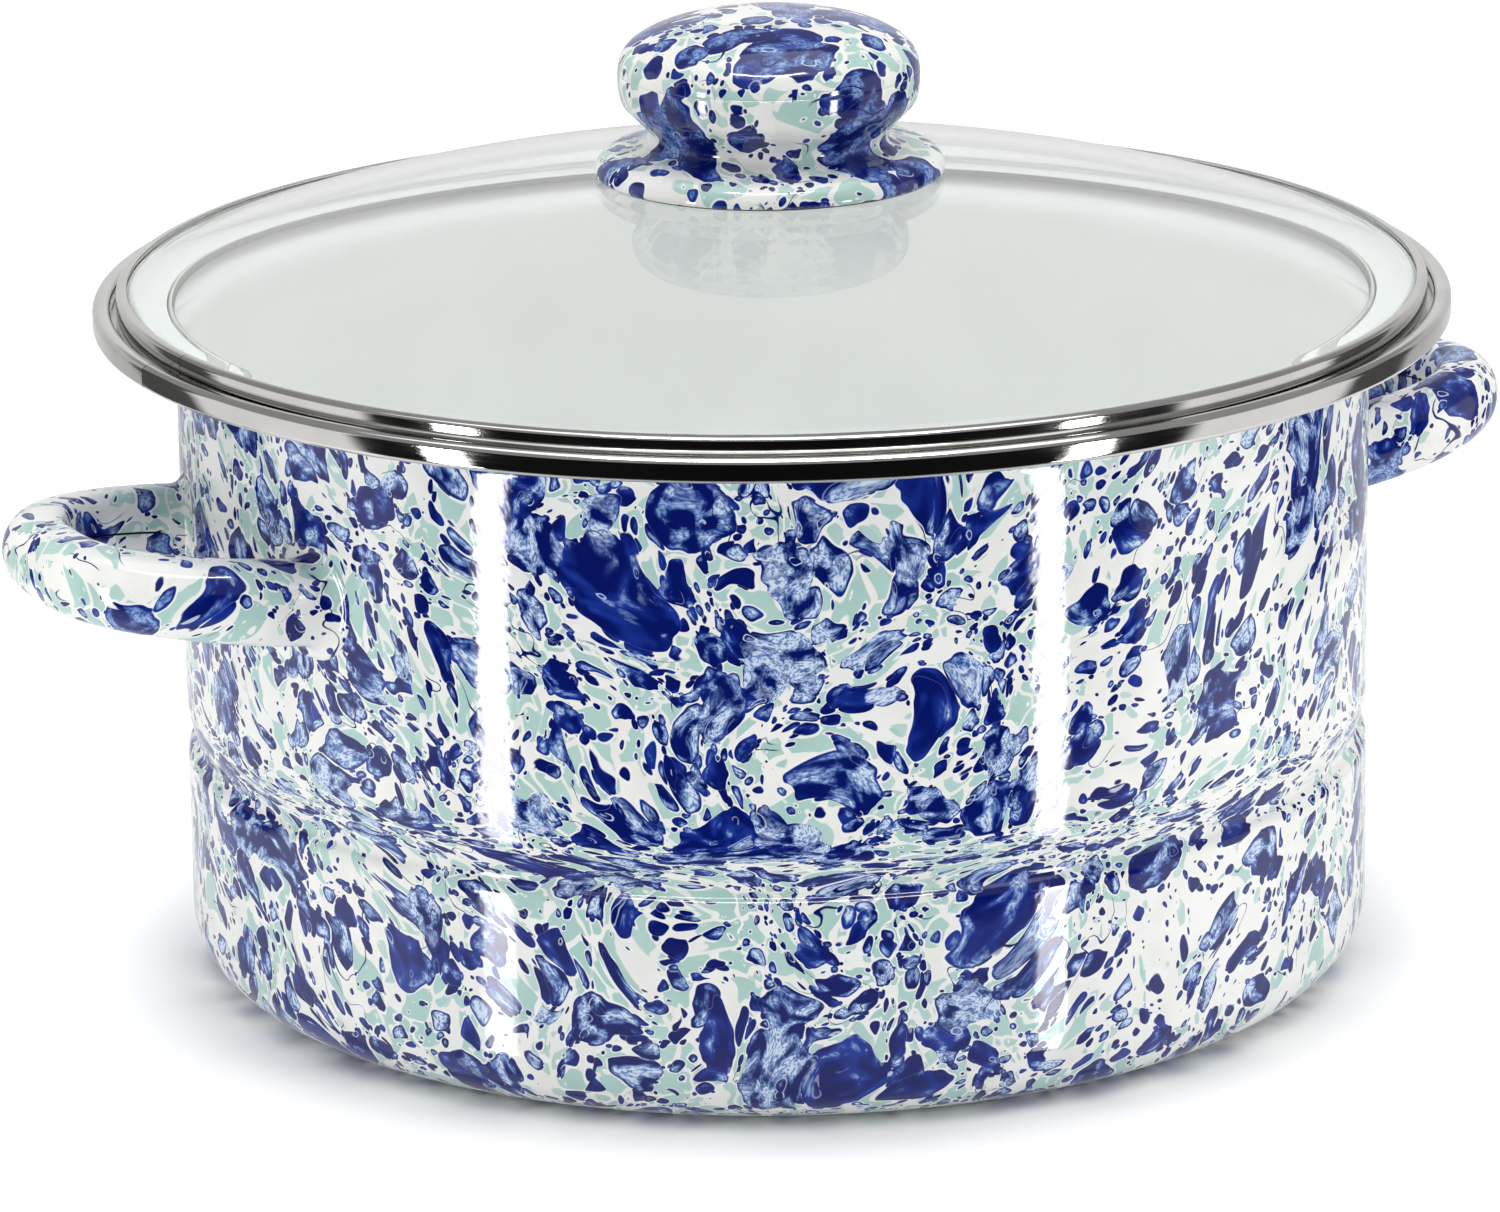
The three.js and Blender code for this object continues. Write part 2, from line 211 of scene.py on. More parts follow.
def new_finish(name, **values):
    """A material with one Principled shader, whose sockets get the named values."""
    material = bpy.data.materials.new(name)
    material.use_nodes = True
    tree = material.node_tree
    shader = tree.nodes["Principled BSDF"]
    for title, value in values.items():
        shader.inputs[title.replace("_", " ")].default_value = value
    return material, tree, shader


def relief(tree, shader, height, depth):
    """A bump of the given depth in metres, wired to the shader's normal."""
    node = tree.nodes.new("ShaderNodeBump")
    node.inputs["Distance"].default_value = depth
    feed(tree, node.inputs["Height"], height)
    tree.links.new(node.outputs["Normal"], shader.inputs["Normal"])


def clear_where(tree, share, shader, tint=(1, 1, 1, 1)):
    """Let a share of the rays pass straight through a material."""
    clear = tree.nodes.new("ShaderNodeBsdfTransparent")
    clear.inputs["Color"].default_value = tint
    either = tree.nodes.new("ShaderNodeMixShader")
    feed(tree, either.inputs[0], share)
    tree.links.new(shader.outputs["BSDF"], either.inputs[1])
    tree.links.new(clear.outputs["BSDF"], either.inputs[2])
    tree.links.new(either.outputs[0], tree.nodes["Material Output"].inputs["Surface"])


print("group and finish helpers: new_group, use_group, new_finish, relief, clear_where")

# %% [markdown]
# ## Splattered enamel
# The pot is dipped in white enamel, spattered with mint and cobalt while it is wet, and fired. Drops
# spread, run together and push the ground aside, so each blue drop has a thin white line round it.
# A painted picture would give one fixed layout, and noise alone gives no round drops. Here each layer
# of drops is a field of random cells: a cell is left empty or holds one drop of its own size, and the
# cells are pulled about by slow drifts, as the wet glaze was. The drops group gives the distance to a
# drop's edge in millimetres, so edges, white lines and thin middles all come from one number.

# %% Drops
OUT_OF_SIGHT = 9.0


def drops_group():
    tree, given, result = new_group(
        "Drops",
        [("Vector", "Vector"), ("Spacing", "Float"), ("Empty", "Float"), ("Largest", "Float")],
        [("Edge", "Float"), ("Kind", "Float")],
    )
    cells = tree.nodes.new("ShaderNodeTexVoronoi")
    cells.feature = "SMOOTH_F1"
    cells.inputs["Scale"].default_value = 1
    cells.inputs["Smoothness"].default_value = 0.12
    per_millimetre = calc(tree, "DIVIDE", 1.0, given["Spacing"])
    feed(tree, cells.inputs["Vector"], stretch(tree, given["Vector"], per_millimetre))
    chance, kind = chances(tree, cells.outputs["Color"])
    filled = calc(tree, "SUBTRACT", chance, given["Empty"])
    size = calc(tree, "DIVIDE", filled, calc(tree, "SUBTRACT", 1.0, given["Empty"]))
    radius = calc(tree, "MULTIPLY", size, given["Largest"])
    room = calc(tree, "SUBTRACT", radius, cells.outputs["Distance"])
    far = calc(tree, "MULTIPLY", calc(tree, "LESS_THAN", filled, 0.0), OUT_OF_SIGHT)
    edge = calc(tree, "SUBTRACT", room, far)
    feed(tree, result["Edge"], calc(tree, "MULTIPLY", edge, given["Spacing"]))
    feed(tree, result["Kind"], kind)
    return tree


def drift(tree, vector, size, amount):
    """The vector pulled about by a smooth random drift."""
    pull = shift(tree, noise(tree, vector, size, 0.0, "Color"), (-0.5, -0.5, -0.5))
    return shift(tree, vector, stretch(tree, pull, amount))


DROPS = drops_group()
print("group:", DROPS.name, "with", len(DROPS.nodes), "nodes")

# %% [markdown]
# The glaze group lays the colours in the order they were thrown: a white ground, mint patches that a
# web of white keeps apart, then cobalt from the largest drops to the finest specks. Mint could be
# drops as well, but its patches meet along lines, as cells do, so cells with a line between them
# make it. A share of the cells is mint, and loose ovals lie between them.

# %% Mint
IVORY = (0.79, 0.795, 0.765, 1)
CREAM = (0.845, 0.85, 0.825, 1)
MINT = (0.36, 0.575, 0.535, 1)
PALE_MINT = (0.42, 0.62, 0.58, 1)
MINT_CELL = 5.8
MINT_OVAL = 4.0


def mint_patches(tree, wide, fine, share):
    """Mask of the mint: a share of cells with round corners, and loose ovals."""
    where = drift(tree, shift(tree, wide, (140.0, 30.0, 75.0)), 3.8, 3.4)
    web = tree.nodes.new("ShaderNodeTexVoronoi")
    web.feature = "DISTANCE_TO_EDGE"
    cells = tree.nodes.new("ShaderNodeTexVoronoi")
    for node in (web, cells):
        node.inputs["Scale"].default_value = 1 / MINT_CELL
        feed(tree, node.inputs["Vector"], where)
    chosen = calc(tree, "LESS_THAN", chances(tree, cells.outputs["Color"])[0], share)
    patch = calc(tree, "MULTIPLY", ramp(tree, web.outputs["Distance"], 0.055, 0.08), chosen)
    apart = shift(tree, fine, (17.0, 260.0, 55.0))
    ovals = use_group(tree, DROPS, Vector=apart, Spacing=MINT_OVAL, Empty=0.5, Largest=0.52)
    loose = ramp(tree, ovals["Edge"], -0.08, 0.08, 0.0, 0.8)
    return calc(tree, "MAXIMUM", patch, loose)


print("mint cells of", MINT_CELL, "mm and ovals of", MINT_OVAL, "mm")

# %% [markdown]
# Thick cobalt is nearly navy. Where a drop spread thin, the white shows through as a pale mottled
# frost, and its rim stays dark. Thin dark threads run between some drops. The pieces of the pot got
# the glaze in different measure, so the group has inputs for it: Stir is how far the drops were
# pulled about, Size how large they are, Mint the share of mint, and Frost how much of the cobalt
# spread thin.

# %% Cobalt
NAVY = (0.0015, 0.007, 0.12, 1)
COBALT = (0.009, 0.032, 0.28, 1)
HAZE = (0.17, 0.29, 0.57, 1)
FROST = (0.62, 0.72, 0.85, 1)

# spacing in mm, share of empty cells, largest radius in spacings, place in the noise, white line in mm
COBALT_LAYERS = (
    (12.0, 0.26, 0.62, (0.0, 0.0, 0.0), 0.40),
    (7.0, 0.16, 0.56, (90.0, 40.0, 10.0), 0.36),
    (3.7, 0.06, 0.50, (31.0, 77.0, 190.0), 0.28),
    (2.1, 0.30, 0.44, (300.0, 12.0, 61.0), 0.18),
)


def cobalt_tone(tree, layer, body, cloud, grain):
    """The colour inside a drop, from its thick body to its thin frosted middle."""
    inner = ramp(tree, layer["Edge"], 0.12, 0.8)
    spread = calc(tree, "ADD", cloud, calc(tree, "MULTIPLY", layer["Kind"], 0.34))
    thin = calc(tree, "MULTIPLY", ramp(tree, spread, 0.61, 0.90), inner)
    thin = calc(tree, "MULTIPLY", thin, grain)
    tone = blend(tree, ramp(tree, thin, 0.02, 0.5), body, HAZE)
    return blend(tree, ramp(tree, thin, 0.4, 1.05), tone, FROST)


def lay_cobalt(tree, color, fine, cloud, size, frost):
    """The colour with all layers of drops laid over it, the largest first."""
    mottle = ramp(tree, noise(tree, fine, 0.5, 2.0), 0.34, 0.66, 0.35, 1.4)
    grain = calc(tree, "MULTIPLY", mottle, frost)
    body = blend(tree, ramp(tree, cloud, 0.40, 0.66), NAVY, COBALT)
    covered = None
    for spacing, empty, largest, offset, line in COBALT_LAYERS:
        layer = use_group(
            tree, DROPS, Vector=shift(tree, fine, offset), Spacing=spacing, Empty=empty,
            Largest=calc(tree, "MULTIPLY", size, largest),
        )
        edge = layer["Edge"]
        drop = ramp(tree, edge, -0.05, 0.05)
        halo = ramp(tree, edge, -line - 0.1, -line + 0.1, 0.0, 0.95)
        shown = drop
        if covered:
            halo = calc(tree, "MULTIPLY", halo, calc(tree, "SUBTRACT", 1.0, covered))
            shown = calc(tree, "MULTIPLY", drop, ramp(tree, covered, 0.0, 1.0, 1.0, 0.55))
            beside = calc(tree, "ABSOLUTE", calc(tree, "ADD", edge, 0.12))
            ring = ramp(tree, beside, 0.05, 0.16, 0.75, 0.0)
            ring = calc(tree, "MULTIPLY", ring, ramp(tree, layer["Kind"], 0.86, 0.98))
            color = blend(tree, calc(tree, "MULTIPLY", ring, covered), color, FROST)
        color = blend(tree, halo, color, CREAM)
        color = blend(tree, shown, color, cobalt_tone(tree, layer, body, cloud, grain))
        covered = calc(tree, "MAXIMUM", covered, drop) if covered else drop
    return color


print("cobalt in", len(COBALT_LAYERS), "layers")

# %% Glaze
def glaze_group():
    measures = ("Stir", "Size", "Mint", "Frost")
    tree, given, result = new_group(
        "Glaze",
        [("Vector", "Vector")] + [(title, "Float") for title in measures],
        [("Color", "Color"), ("Height", "Float")],
    )
    spot = given["Vector"]
    wide = drift(tree, spot, 20.0, calc(tree, "MULTIPLY", given["Stir"], 15.0))
    flow = drift(tree, wide, 5.8, calc(tree, "MULTIPLY", given["Stir"], 4.2))
    fine = drift(tree, flow, 2.1, 0.95)
    shade = ramp(tree, noise(tree, spot, 9.0), 0.3, 0.7)
    ground = blend(tree, shade, IVORY, CREAM)
    thrown = calc(tree, "MULTIPLY", mint_patches(tree, wide, fine, given["Mint"]), 0.94)
    color = blend(tree, thrown, ground, blend(tree, shade, PALE_MINT, MINT))
    cloud = noise(tree, flow, 3.4)
    color = lay_cobalt(tree, color, fine, cloud, given["Size"], given["Frost"])
    hills = noise(tree, shift(tree, flow, (5.0, 5.0, 400.0)), 10.0)
    contour = calc(tree, "ABSOLUTE", calc(tree, "SUBTRACT", hills, 0.5))
    some = ramp(tree, noise(tree, shift(tree, spot, (55.0, 0.0, 0.0)), 18.0), 0.56, 0.6)
    thread = calc(tree, "MULTIPLY", ramp(tree, contour, 0.0035, 0.0065, 1.0, 0.0), some)
    feed(tree, result["Color"], blend(tree, thread, color, NAVY))
    feed(tree, result["Height"], noise(tree, spot, 3.4, 2.0))
    return tree


GLAZE = glaze_group()
print("group:", GLAZE.name, "with", len(GLAZE.nodes), "nodes")

# %% [markdown]
# The wall, the handles and the knob share the glaze but not its flow. On the wall the drops lean
# inwards towards the top on both sides of the front, and just above the pressed groove they were
# dragged into level streaks. Leaning is a shear of the height by the square of the distance across
# the front, and the streaks are a squeeze of the height. Both are made before the glaze reads the
# place, so the same drops turn and stretch as the wet ones did. Drops are smaller and mint is rarer
# towards the right of the wall. The left handle has more mint and smaller drops than the right one.

# %% Enamel finishes
STREAK_HEIGHT = 49.6
STREAK_REACH = 3.2
STREAK_PULL = 13.0
LEAN = -0.9 / 220


def enamel(name, flow):
    material, tree, shader = new_finish(name, Roughness=0.07, IOR=1.58)
    place, stir, size, mint, frost = flow(tree, millimetres(tree))
    glaze = use_group(tree, GLAZE, Vector=place, Stir=stir, Size=size, Mint=mint, Frost=frost)
    feed(tree, shader.inputs["Base Color"], glaze["Color"])
    relief(tree, shader, glaze["Height"], 0.036 * MM)
    return material


def wall_flow(tree, spot):
    x, y, z = parts_of(tree, spot)
    across = along(tree, spot, TO_RIGHT)
    lean = calc(tree, "MULTIPLY", calc(tree, "MULTIPLY", across, across), LEAN)
    above_streaks = calc(tree, "SUBTRACT", z, STREAK_HEIGHT)
    drag = calc(tree, "TANH", calc(tree, "DIVIDE", above_streaks, STREAK_REACH))
    pulled = calc(tree, "MULTIPLY", drag, STREAK_PULL)
    height = calc(tree, "ADD", calc(tree, "ADD", z, lean), pulled)
    size = ramp(tree, across, -85.0, -25.0, 1.18, 1.23)
    size = calc(tree, "SUBTRACT", size, ramp(tree, across, 25.0, 80.0, 0.0, 0.23))
    mint = ramp(tree, across, -85.0, -25.0, 0.5, 0.8)
    mint = calc(tree, "SUBTRACT", mint, ramp(tree, across, 25.0, 75.0, 0.0, 0.5))
    return vector_of(tree, x, y, height), 1.0, size, mint, 1.0


def handle_flow(tree, spot):
    x = parts_of(tree, spot)[0]
    size = ramp(tree, x, -100.0, 100.0, 0.88, 1.18)
    mint = ramp(tree, x, -100.0, 100.0, 0.45, 0.15)
    return shift(tree, spot, (40.0, 310.0, 5.0)), 0.9, size, mint, 0.55


def knob_flow(tree, spot):
    place = stretch(tree, shift(tree, spot, (400.0, 20.0, 0.0)), 0.85)
    return place, 0.5, 1.2, 0.66, 0.45


wall_enamel = enamel("wall_enamel", wall_flow)
handle_enamel = enamel("handle_enamel", handle_flow)
knob_enamel = enamel("knob_enamel", knob_flow)
print("splattered enamels:", wall_enamel.name, handle_enamel.name, knob_enamel.name)

# %% [markdown]
# The inside of the pot was dipped but not spattered. Its white is a little cloudy and a little wavy.

# %% White enamel
white_enamel, tree, shader = new_finish("white_enamel", Roughness=0.1, IOR=1.55)
spot = millimetres(tree)
cloudy = ramp(tree, noise(tree, spot, 30.0, 2.0), 0.3, 0.7)
whites = ((0.82, 0.83, 0.82, 1), (0.85, 0.86, 0.85, 1))
feed(tree, shader.inputs["Base Color"], blend(tree, cloudy, *whites))
relief(tree, shader, noise(tree, spot, 4.0), 0.04 * MM)
print("plain enamel:", white_enamel.name)

# %% [markdown]
# ## Steel, glass and rubber
# The two bands are polished stainless strip. Polishing runs round the pot, so its faint lines do too:
# the noise is read by distance from the axis and by height, and hardly changes along the way round.
# The fastening under the lid is plain steel, and rougher.

# %% Steel
def steel(name, color, smooth, rough, line):
    material, tree, shader = new_finish(name, Metallic=1.0)
    spot = millimetres(tree)
    x, y, z = parts_of(tree, spot)
    round_about = vector_of(tree, calc(tree, "MULTIPLY", x, 0.02), from_axis(tree, x, y), z)
    rings = calc(tree, "MULTIPLY", noise(tree, round_about, line), 0.4)
    smudge = noise(tree, spot, 14.0, 2.0)
    wear = calc(tree, "ADD", rings, calc(tree, "MULTIPLY", smudge, 0.6))
    feed(tree, shader.inputs["Roughness"], ramp(tree, wear, 0.3, 0.7, smooth, rough))
    shaded = tuple(0.9 * part for part in color[:3]) + (1,)
    cleaner = ramp(tree, smudge, 0.35, 0.65)
    feed(tree, shader.inputs["Base Color"], blend(tree, cleaner, shaded, color))
    return material


polished_steel = steel("polished_steel", (0.74, 0.73, 0.71, 1), 0.04, 0.1, 0.25)
plain_steel = steel("plain_steel", (0.62, 0.62, 0.61, 1), 0.25, 0.42, 0.3)
print("steels:", polished_steel.name, plain_steel.name)

# %% [markdown]
# The glass is clear with a breath of green. Window glass would have an IOR of 1.5, but in the
# photograph the knob is mirrored only faintly in the lid, so the IOR is lower here. The glass lets
# the lamps through, or the inside of the pot would lie in a shadow that thin glass doesn't cast.

# %% Glass
clear_glass, tree, shader = new_finish(
    "clear_glass", Base_Color=(0.975, 0.99, 0.985, 1), Roughness=0.0, IOR=1.25, Transmission_Weight=1.0
)
relief(tree, shader, noise(tree, millimetres(tree), 40.0, 0.0), 0.01 * MM)
lamp_light = tree.nodes.new("ShaderNodeLightPath").outputs["Is Shadow Ray"]
clear_where(tree, lamp_light, shader, tint=(0.955, 0.975, 0.965, 1))
print("glass:", clear_glass.name)

# %% [markdown]
# Rubber is matte and a little dusty, so fine noise sets both its colour and its grain. The ring under
# the knob is black. The seal that the glass lies on is pale, or it would show through the glass as a
# dark ring, and a dark olive matte finish runs along the band's inner edge. The seam of a handle gets
# painted shade: a dark mottled finish stands in for the shade inside the open seam.

# %% Rubber, dark olive finish and painted seam shade
def rubber(name, dark, light):
    material, tree, shader = new_finish(name, Roughness=0.62)
    dust = noise(tree, millimetres(tree), 0.6, 3.0)
    feed(tree, shader.inputs["Base Color"], blend(tree, dust, dark, light))
    relief(tree, shader, dust, 0.05 * MM)
    return material


black_rubber = rubber("black_rubber", (0.012, 0.012, 0.013, 1), (0.03, 0.03, 0.031, 1))
pale_rubber = rubber("pale_rubber", (0.57, 0.59, 0.575, 1), (0.63, 0.65, 0.635, 1))
dark_olive_matte = rubber("dark_olive_matte", (0.07, 0.07, 0.055, 1), (0.11, 0.11, 0.09, 1))

# painted shade: the open stretch of a handle's seam gets this dark mottled finish in place of the
# shade inside the open seam
seam_painted_shade, tree, shader = new_finish("seam_painted_shade", Roughness=0.7)
seam_shade_mottle = noise(tree, millimetres(tree), 0.8, 2.0)
seam_shade_tones = ((0.008, 0.008, 0.01, 1), (0.03, 0.028, 0.03, 1))
feed(tree, shader.inputs["Base Color"], blend(tree, seam_shade_mottle, *seam_shade_tones))
print("matte finishes:", black_rubber.name, pale_rubber.name, dark_olive_matte.name, seam_painted_shade.name)

# %% [markdown]
# ## Turned pieces
# Nearly everything here is round: pressed, spun or rolled about the axis of the pot. Such a piece is
# drawn as half of its section and turned. The section's corners are given with their bend radius, and
# the bevel operator rounds them, as a press tool would. Long straight stretches are cut up first, so
# that the shading of a bend stays in the bend. Then spin carries the section round.

# %% Section
LONGEST_EDGE = 5 * MM
FEWEST_BEND_STEPS = 6
MOST_BEND_STEPS = 10


def section(corners, closed=False):
    """A wire through corners of radius, height and bend, all in millimetres."""
    bm = bmesh.new()
    verts = [bm.verts.new((radius * MM, 0, height * MM)) for radius, height, _ in corners]
    ends = zip(verts, verts[1:] + verts[:1]) if closed else zip(verts, verts[1:])
    for pair in list(ends):
        bm.edges.new(pair)
    for vert, (_, _, bend) in zip(verts, corners):
        if bend:
            bmesh.ops.bevel(
                bm, geom=[vert], offset=bend * MM, offset_type="OFFSET",
                segments=min(MOST_BEND_STEPS, FEWEST_BEND_STEPS + int(bend)),
                profile=0.5, affect="VERTICES", material=-1,
            )
    for edge in [edge for edge in bm.edges if edge.calc_length() > LONGEST_EDGE]:
        cuts = int(edge.calc_length() / LONGEST_EDGE)
        bmesh.ops.subdivide_edges(bm, edges=[edge], cuts=cuts)
    return bm


print("straight stretches are cut at", LONGEST_EDGE, "m")

# %% Turn
TURN_STEPS = 192


def turn(bm, start=0.0, sweep=360.0, steps=TURN_STEPS):
    """Carry the section round the axis, and close the two ends of a turn that isn't whole."""
    whole = sweep == 360.0
    bmesh.ops.rotate(bm, verts=bm.verts, matrix=Matrix.Rotation(math.radians(start), 3, "Z"))
    bmesh.ops.spin(
        bm, geom=bm.verts[:] + bm.edges[:], axis=(0, 0, 1), cent=(0, 0, 0),
        angle=math.radians(sweep), steps=steps, use_merge=whole,
    )
    bmesh.ops.remove_doubles(bm, verts=bm.verts, dist=0.0001 * MM)
    if not whole:
        ends = [edge for edge in bm.edges if edge.is_boundary]
        bmesh.ops.holes_fill(bm, edges=ends, sides=0)
        for edge in ends:
            edge.smooth = False
    bmesh.ops.recalc_face_normals(bm, faces=bm.faces)
    return bm


print("a full turn has", TURN_STEPS, "steps")

# %% [markdown]
# A mesh becomes a piece when it has its finishes, rides on a body and stands for a solid. Sheet metal
# is drawn as a skin, and the Solidify modifier gives the skin its thickness inwards.

# %% Piece
def make_piece(bm, name, body, node, slot, *finishes):
    """Turn a bmesh into an object that rides on a body and stands for a solid."""
    for face in bm.faces:
        face.smooth = True
    mesh = bpy.data.meshes.new(name)
    bm.to_mesh(mesh)
    bm.free()
    for finish in finishes:
        mesh.materials.append(finish)
    piece = bpy.data.objects.new(name, mesh)
    bpy.context.scene.collection.objects.link(piece)
    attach(piece, body)
    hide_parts(node)
    print(name, len(mesh.polygons), "faces")
    return piece


def thicken(piece, sheet, inner_slot=0):
    """Give a skin the thickness of its sheet, inwards, with the inside in another finish."""
    wall = piece.modifiers.new("sheet", "SOLIDIFY")
    wall.thickness = sheet * MM
    wall.offset = -1
    wall.use_even_offset = True
    wall.material_offset = inner_slot


print("piece helpers: make_piece, thicken")

# %% [markdown]
# ## Pot
# The pot is one pressed sheet: a flat base, a round corner, a straight wall with a pressed groove, a
# cove out to the ledge for the lid, and a short lip. The groove is steep below and slack above, which
# gives the two bright lines along it. Only the outside is drawn. The Solidify modifier gives it the
# sheet's thickness and puts the plain white enamel on the inside.

# %% Pot shell
SHEET = 1.5
WALL = 110.2
GROOVE_DEPTH = 2.2
LEDGE = 123.8
LEDGE_UNDER = LEDGE - SHEET
LIP = 124.3
pot_section = section([
    (0, 0, 0),
    (WALL, 0, 12),
    (WALL, 42.1, 1.3),
    (WALL - GROOVE_DEPTH, 43.8, 1.1),
    (WALL, 49.5, 2.8),
    (WALL, LEDGE_UNDER, 5),
    (LIP, LEDGE_UNDER, 1.5),
    (LIP, 126.1, 0),
])
pot_shell = make_piece(
    turn(pot_section), "pot_shell", "pot", "pot_body", "enamel", wall_enamel, white_enamel
)
thicken(pot_shell, SHEET, 1)

# %% [markdown]
# ## Bands
# Each band is a strip of stainless folded over an edge and butted end to end. The joint shows as a
# fine dark line at the left of the photograph, so the strips are turned a hair short of a full round.
# The pot's band clasps its lip. The lid's band has a short lip over the glass, a straight face, and a
# long foot under the glass that rests on the ledge. The foot's inner edge is turned up, and its inner
# face has a dark olive matte finish, which shows through the back of the glass as an olive line.

# %% Band of the pot
JOINT = 0.1
POT_BAND_JOINT = 179.7
pot_band_section = section([
    (124.1, 122.55, 0.1),
    (125.2, 122.55, 1.0),
    (125.2, 127.0, 1.3),
    (121.9, 127.0, 1.1),
    (121.9, 124.1, 0.2),
    (122.5, 124.1, 0.2),
    (122.5, 126.4, 0.5),
    (124.6, 126.4, 0.5),
], closed=True)
pot_band = turn(pot_band_section, POT_BAND_JOINT, 360 - JOINT)
make_piece(pot_band, "pot_band", "pot", "pot_rim_band", "polished_steel", polished_steel)

# %% Band of the lid
LID_BAND_JOINT = 182.8
BEAD = 110.1
lid_band_section = section([
    (109.55, 124.1, 0.12),
    (120.8, 124.1, 0.9),
    (120.8, 129.55, 0.75),
    (118.8, 129.78, 0.15),
    (118.8, 129.42, 0.1),
    (119.4, 129.05, 0),
    (120.3, 128.95, 0.4),
    (120.3, 124.6, 0.4),
    (110.8, 124.6, 0.2),
    (110.4, 125.4, 0.2),
    (109.85, 125.4, 0.12),
    (109.8, 125.2, 0),
    (109.61, 124.35, 0),
], closed=True)
lid_band = turn(lid_band_section, LID_BAND_JOINT, 360 - JOINT)
# the inner face of the foot's turned-up edge gets a dark olive matte finish, which darkens the line
# seen through the glass
for face in lid_band.faces:
    if all(vert.co.xy.length < BEAD * MM for vert in face.verts):
        face.material_index = 1
make_piece(
    lid_band, "lid_band", "lid", "lid_rim_band", "polished_steel", polished_steel, dark_olive_matte
)

# %% [markdown]
# ## Glass
# The lid is a shallow cap of a sphere with a hole for the screw. Spin makes the arc from one point,
# turned about the centre of the sphere, and a second spin makes the cap from the arc. Solidify gives
# the glass its thickness, and a bevel grinds its edges. The pale seal lies flat on the band's foot
# and turns up round the edge of the glass.

# %% Glass dome
GLASS_RADIUS = 119.2
GLASS_HOLE = 4.2
GLASS_APEX = 149.5
GLASS_RISE = 20.6
GLASS_THICKNESS = 3.2
DOME = (GLASS_RADIUS ** 2 + GLASS_RISE ** 2) / (2 * GLASS_RISE)
dome = bmesh.new()
top = dome.verts.new((0, 0, GLASS_APEX * MM))
centre = Vector((0, 0, (GLASS_APEX - DOME) * MM))
hole_angle = math.asin(GLASS_HOLE / DOME)
edge_angle = math.asin(GLASS_RADIUS / DOME)
to_hole = Matrix.Rotation(hole_angle, 3, "Y")
bmesh.ops.rotate(dome, verts=[top], cent=centre, matrix=to_hole)
bmesh.ops.spin(
    dome, geom=[top], axis=(0, 1, 0), cent=centre, angle=edge_angle - hole_angle, steps=40
)
glass = make_piece(turn(dome), "glass_dome", "lid", "lid_glass", "clear_glass", clear_glass)
thicken(glass, GLASS_THICKNESS)
ground_edges = glass.modifiers.new("ground edges", "BEVEL")
ground_edges.width = 0.4 * MM
ground_edges.segments = 2
ground_edges.angle_limit = math.radians(50)

# %% Seal
seal_section = section([
    (110.95, 124.75, 0.05),
    (120.0, 124.75, 0.3),
    (120.0, 128.9, 0.15),
    (119.5, 128.9, 0.15),
    (119.5, 125.1, 0.15),
    (110.95, 125.1, 0.05),
], closed=True)
make_piece(turn(seal_section), "glass_seal", "lid", "lid_rim_seal", "rubber", pale_rubber)

# %% [markdown]
# ## Knob
# The knob is two pressed shells that meet at the widest line, under the enamel, so no joint shows.
# Its outline is all curves, so it is drawn as a smooth curve through a few measured points, made into
# a mesh and turned. Solidify gives the shells their sheet.

# %% Knob shells
KNOB_SHEET = 1.2
KNOB_STEPS = 128


def smooth_section(points):
    """A wire along a smooth curve through points of radius and height in millimetres."""
    curve = bpy.data.curves.new("outline", "CURVE")
    curve.dimensions = "3D"
    curve.resolution_u = 6
    spline = curve.splines.new("BEZIER")
    spline.bezier_points.add(len(points) - 1)
    for knot, (radius, height) in zip(spline.bezier_points, points):
        knot.co = (radius * MM, 0, height * MM)
        knot.handle_left_type = "AUTO"
        knot.handle_right_type = "AUTO"
    holder = bpy.data.objects.new("outline", curve)
    bpy.context.scene.collection.objects.link(holder)
    bpy.context.view_layer.update()
    drawn = holder.evaluated_get(bpy.context.evaluated_depsgraph_get())
    mesh = bpy.data.meshes.new_from_object(drawn)
    bm = bmesh.new()
    bm.from_mesh(mesh)
    bpy.data.objects.remove(holder)
    bpy.data.curves.remove(curve)
    bpy.data.meshes.remove(mesh)
    return bm


def knob_shell(points, name, node):
    shell = turn(smooth_section(points), steps=KNOB_STEPS)
    thicken(make_piece(shell, name, "lid", node, "enamel", knob_enamel), KNOB_SHEET)


knob_shell([
    (31.2, 148.45), (32.1, 148.65), (32.25, 149.5), (30.8, 151.9), (27.6, 153.1),
    (24.0, 153.9), (22.3, 155.0), (22.15, 156.1), (23.2, 157.7), (25.5, 160.0),
    (27.1, 161.9), (27.7, 164.2), (27.8, 167.6),
], "knob_foot", "knob_base")
knob_shell([
    (27.8, 167.6), (27.45, 169.6), (26.2, 171.9), (23.6, 173.9), (19.4, 175.75),
    (14.0, 177.1), (7.5, 177.9), (0, 178.15),
], "knob_crown", "knob_cap")

# %% [markdown]
# ## Fastening
# A thin black gasket keeps the knob's foot off the glass and shows as a dark line. Under the glass a
# rubber pad, a washer and a screw hold the knob. All are turned from small closed sections.

# %% Gasket, pad and washer
SMALL_STEPS = 48
gasket_section = section([
    (28.2, 148.45, 0),
    (31.3, 148.14, 0.1),
    (31.3, 148.9, 0.1),
    (28.2, 149.4, 0),
], closed=True)
gasket = turn(gasket_section, steps=KNOB_STEPS)
make_piece(gasket, "knob_gasket_ring", "lid", "knob_gasket", "rubber", black_rubber)

pad_section = section([
    (2.8, 144.47, 0.2),
    (9.5, 144.47, 0.5),
    (9.5, 145.87, 0.3),
    (3.9, 145.87, 0.1),
    (3.9, 149.4, 0.2),
    (2.8, 149.4, 0.2),
], closed=True)
pad = turn(pad_section, steps=SMALL_STEPS)
make_piece(pad, "knob_pad_disc", "lid", "knob_pad", "rubber", black_rubber)

